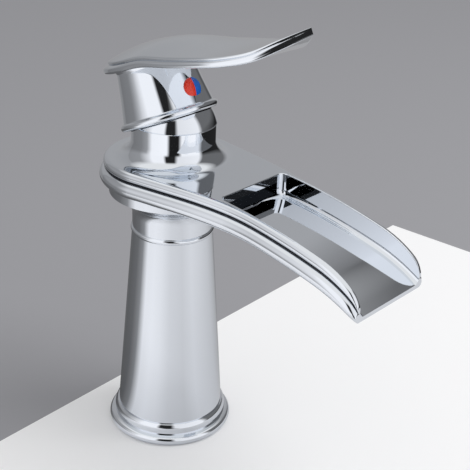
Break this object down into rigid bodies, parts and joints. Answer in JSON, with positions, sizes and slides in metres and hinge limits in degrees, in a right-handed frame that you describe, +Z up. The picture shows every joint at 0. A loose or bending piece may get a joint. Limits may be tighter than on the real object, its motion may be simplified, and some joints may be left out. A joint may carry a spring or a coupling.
{
  "type": "waterfall basin faucet",
  "caption": "Single-lever waterfall basin faucet in polished chrome: tapered round column, open curved trough spout and a leaf-shaped lever on a beaded hub.",
  "frame": {"origin": "on the column's axis, in the plane where the base flange stands on the basin deck", "axes": "+Z up along the column's axis, +X along the spout towards its lip, +Y towards the hot inlet, XZ is the plane of symmetry"},
  "size_m": [0.1684, 0.0716, 0.2866],
  "materials": {
    "polished_chrome": "polished chrome plate",
    "seal_rubber": "matt black rubber",
    "cartridge_plastic": "matt white plastic",
    "ceramic": "lapped ceramic",
    "steel": "bright steel",
    "plain_brass": "unplated machined brass",
    "index_red": "gloss red enamel",
    "index_blue": "gloss blue enamel"
  },
  "bodies": {
    "body": {"base_flange": "polished_chrome", "base_seal": "seal_rubber", "column": "polished_chrome", "trim_ring": "polished_chrome", "neck_o_ring": "seal_rubber", "spout_body": "polished_chrome", "cartridge_seals": "seal_rubber", "cartridge_base": "cartridge_plastic", "fixed_disc": "ceramic", "cartridge_housing": "cartridge_plastic", "cartridge_nut": "plain_brass", "dome_cap": "polished_chrome", "mounting_stud": "plain_brass", "rubber_washer": "seal_rubber", "metal_washer": "steel", "fixing_nut": "plain_brass"},
    "spindle": {"spindle": "cartridge_plastic", "pivot_pin": "steel"},
    "disc": {"moving_disc": "ceramic", "disc_carrier": "cartridge_plastic"},
    "handle": {"lever_stem": "plain_brass", "lever_handle": "polished_chrome", "set_screw": "steel", "index_red": "index_red", "index_blue": "index_blue"}
  },
  "joints": [
    {"name": "temp_turn", "type": "hinge", "parent": "body", "child": "spindle", "pos_m": [0, 0, 0.1618], "axis": [0, 0, 1], "range_deg": [-45, 45]},
    {"name": "lever_lift", "type": "hinge", "parent": "spindle", "child": "handle", "pos_m": [0, 0, 0.1618], "axis": [0, -1, 0], "range_deg": [-25, 0]},
    {"name": "disc_slide", "type": "slide", "parent": "spindle", "child": "disc", "axis": [1, 0, 0], "range_m": [-0.00385, 0]}
  ],
  "couplings": [
    {"joint": "disc_slide", "follows": "lever_lift", "m_per_rad": 0.00872}
  ]
}
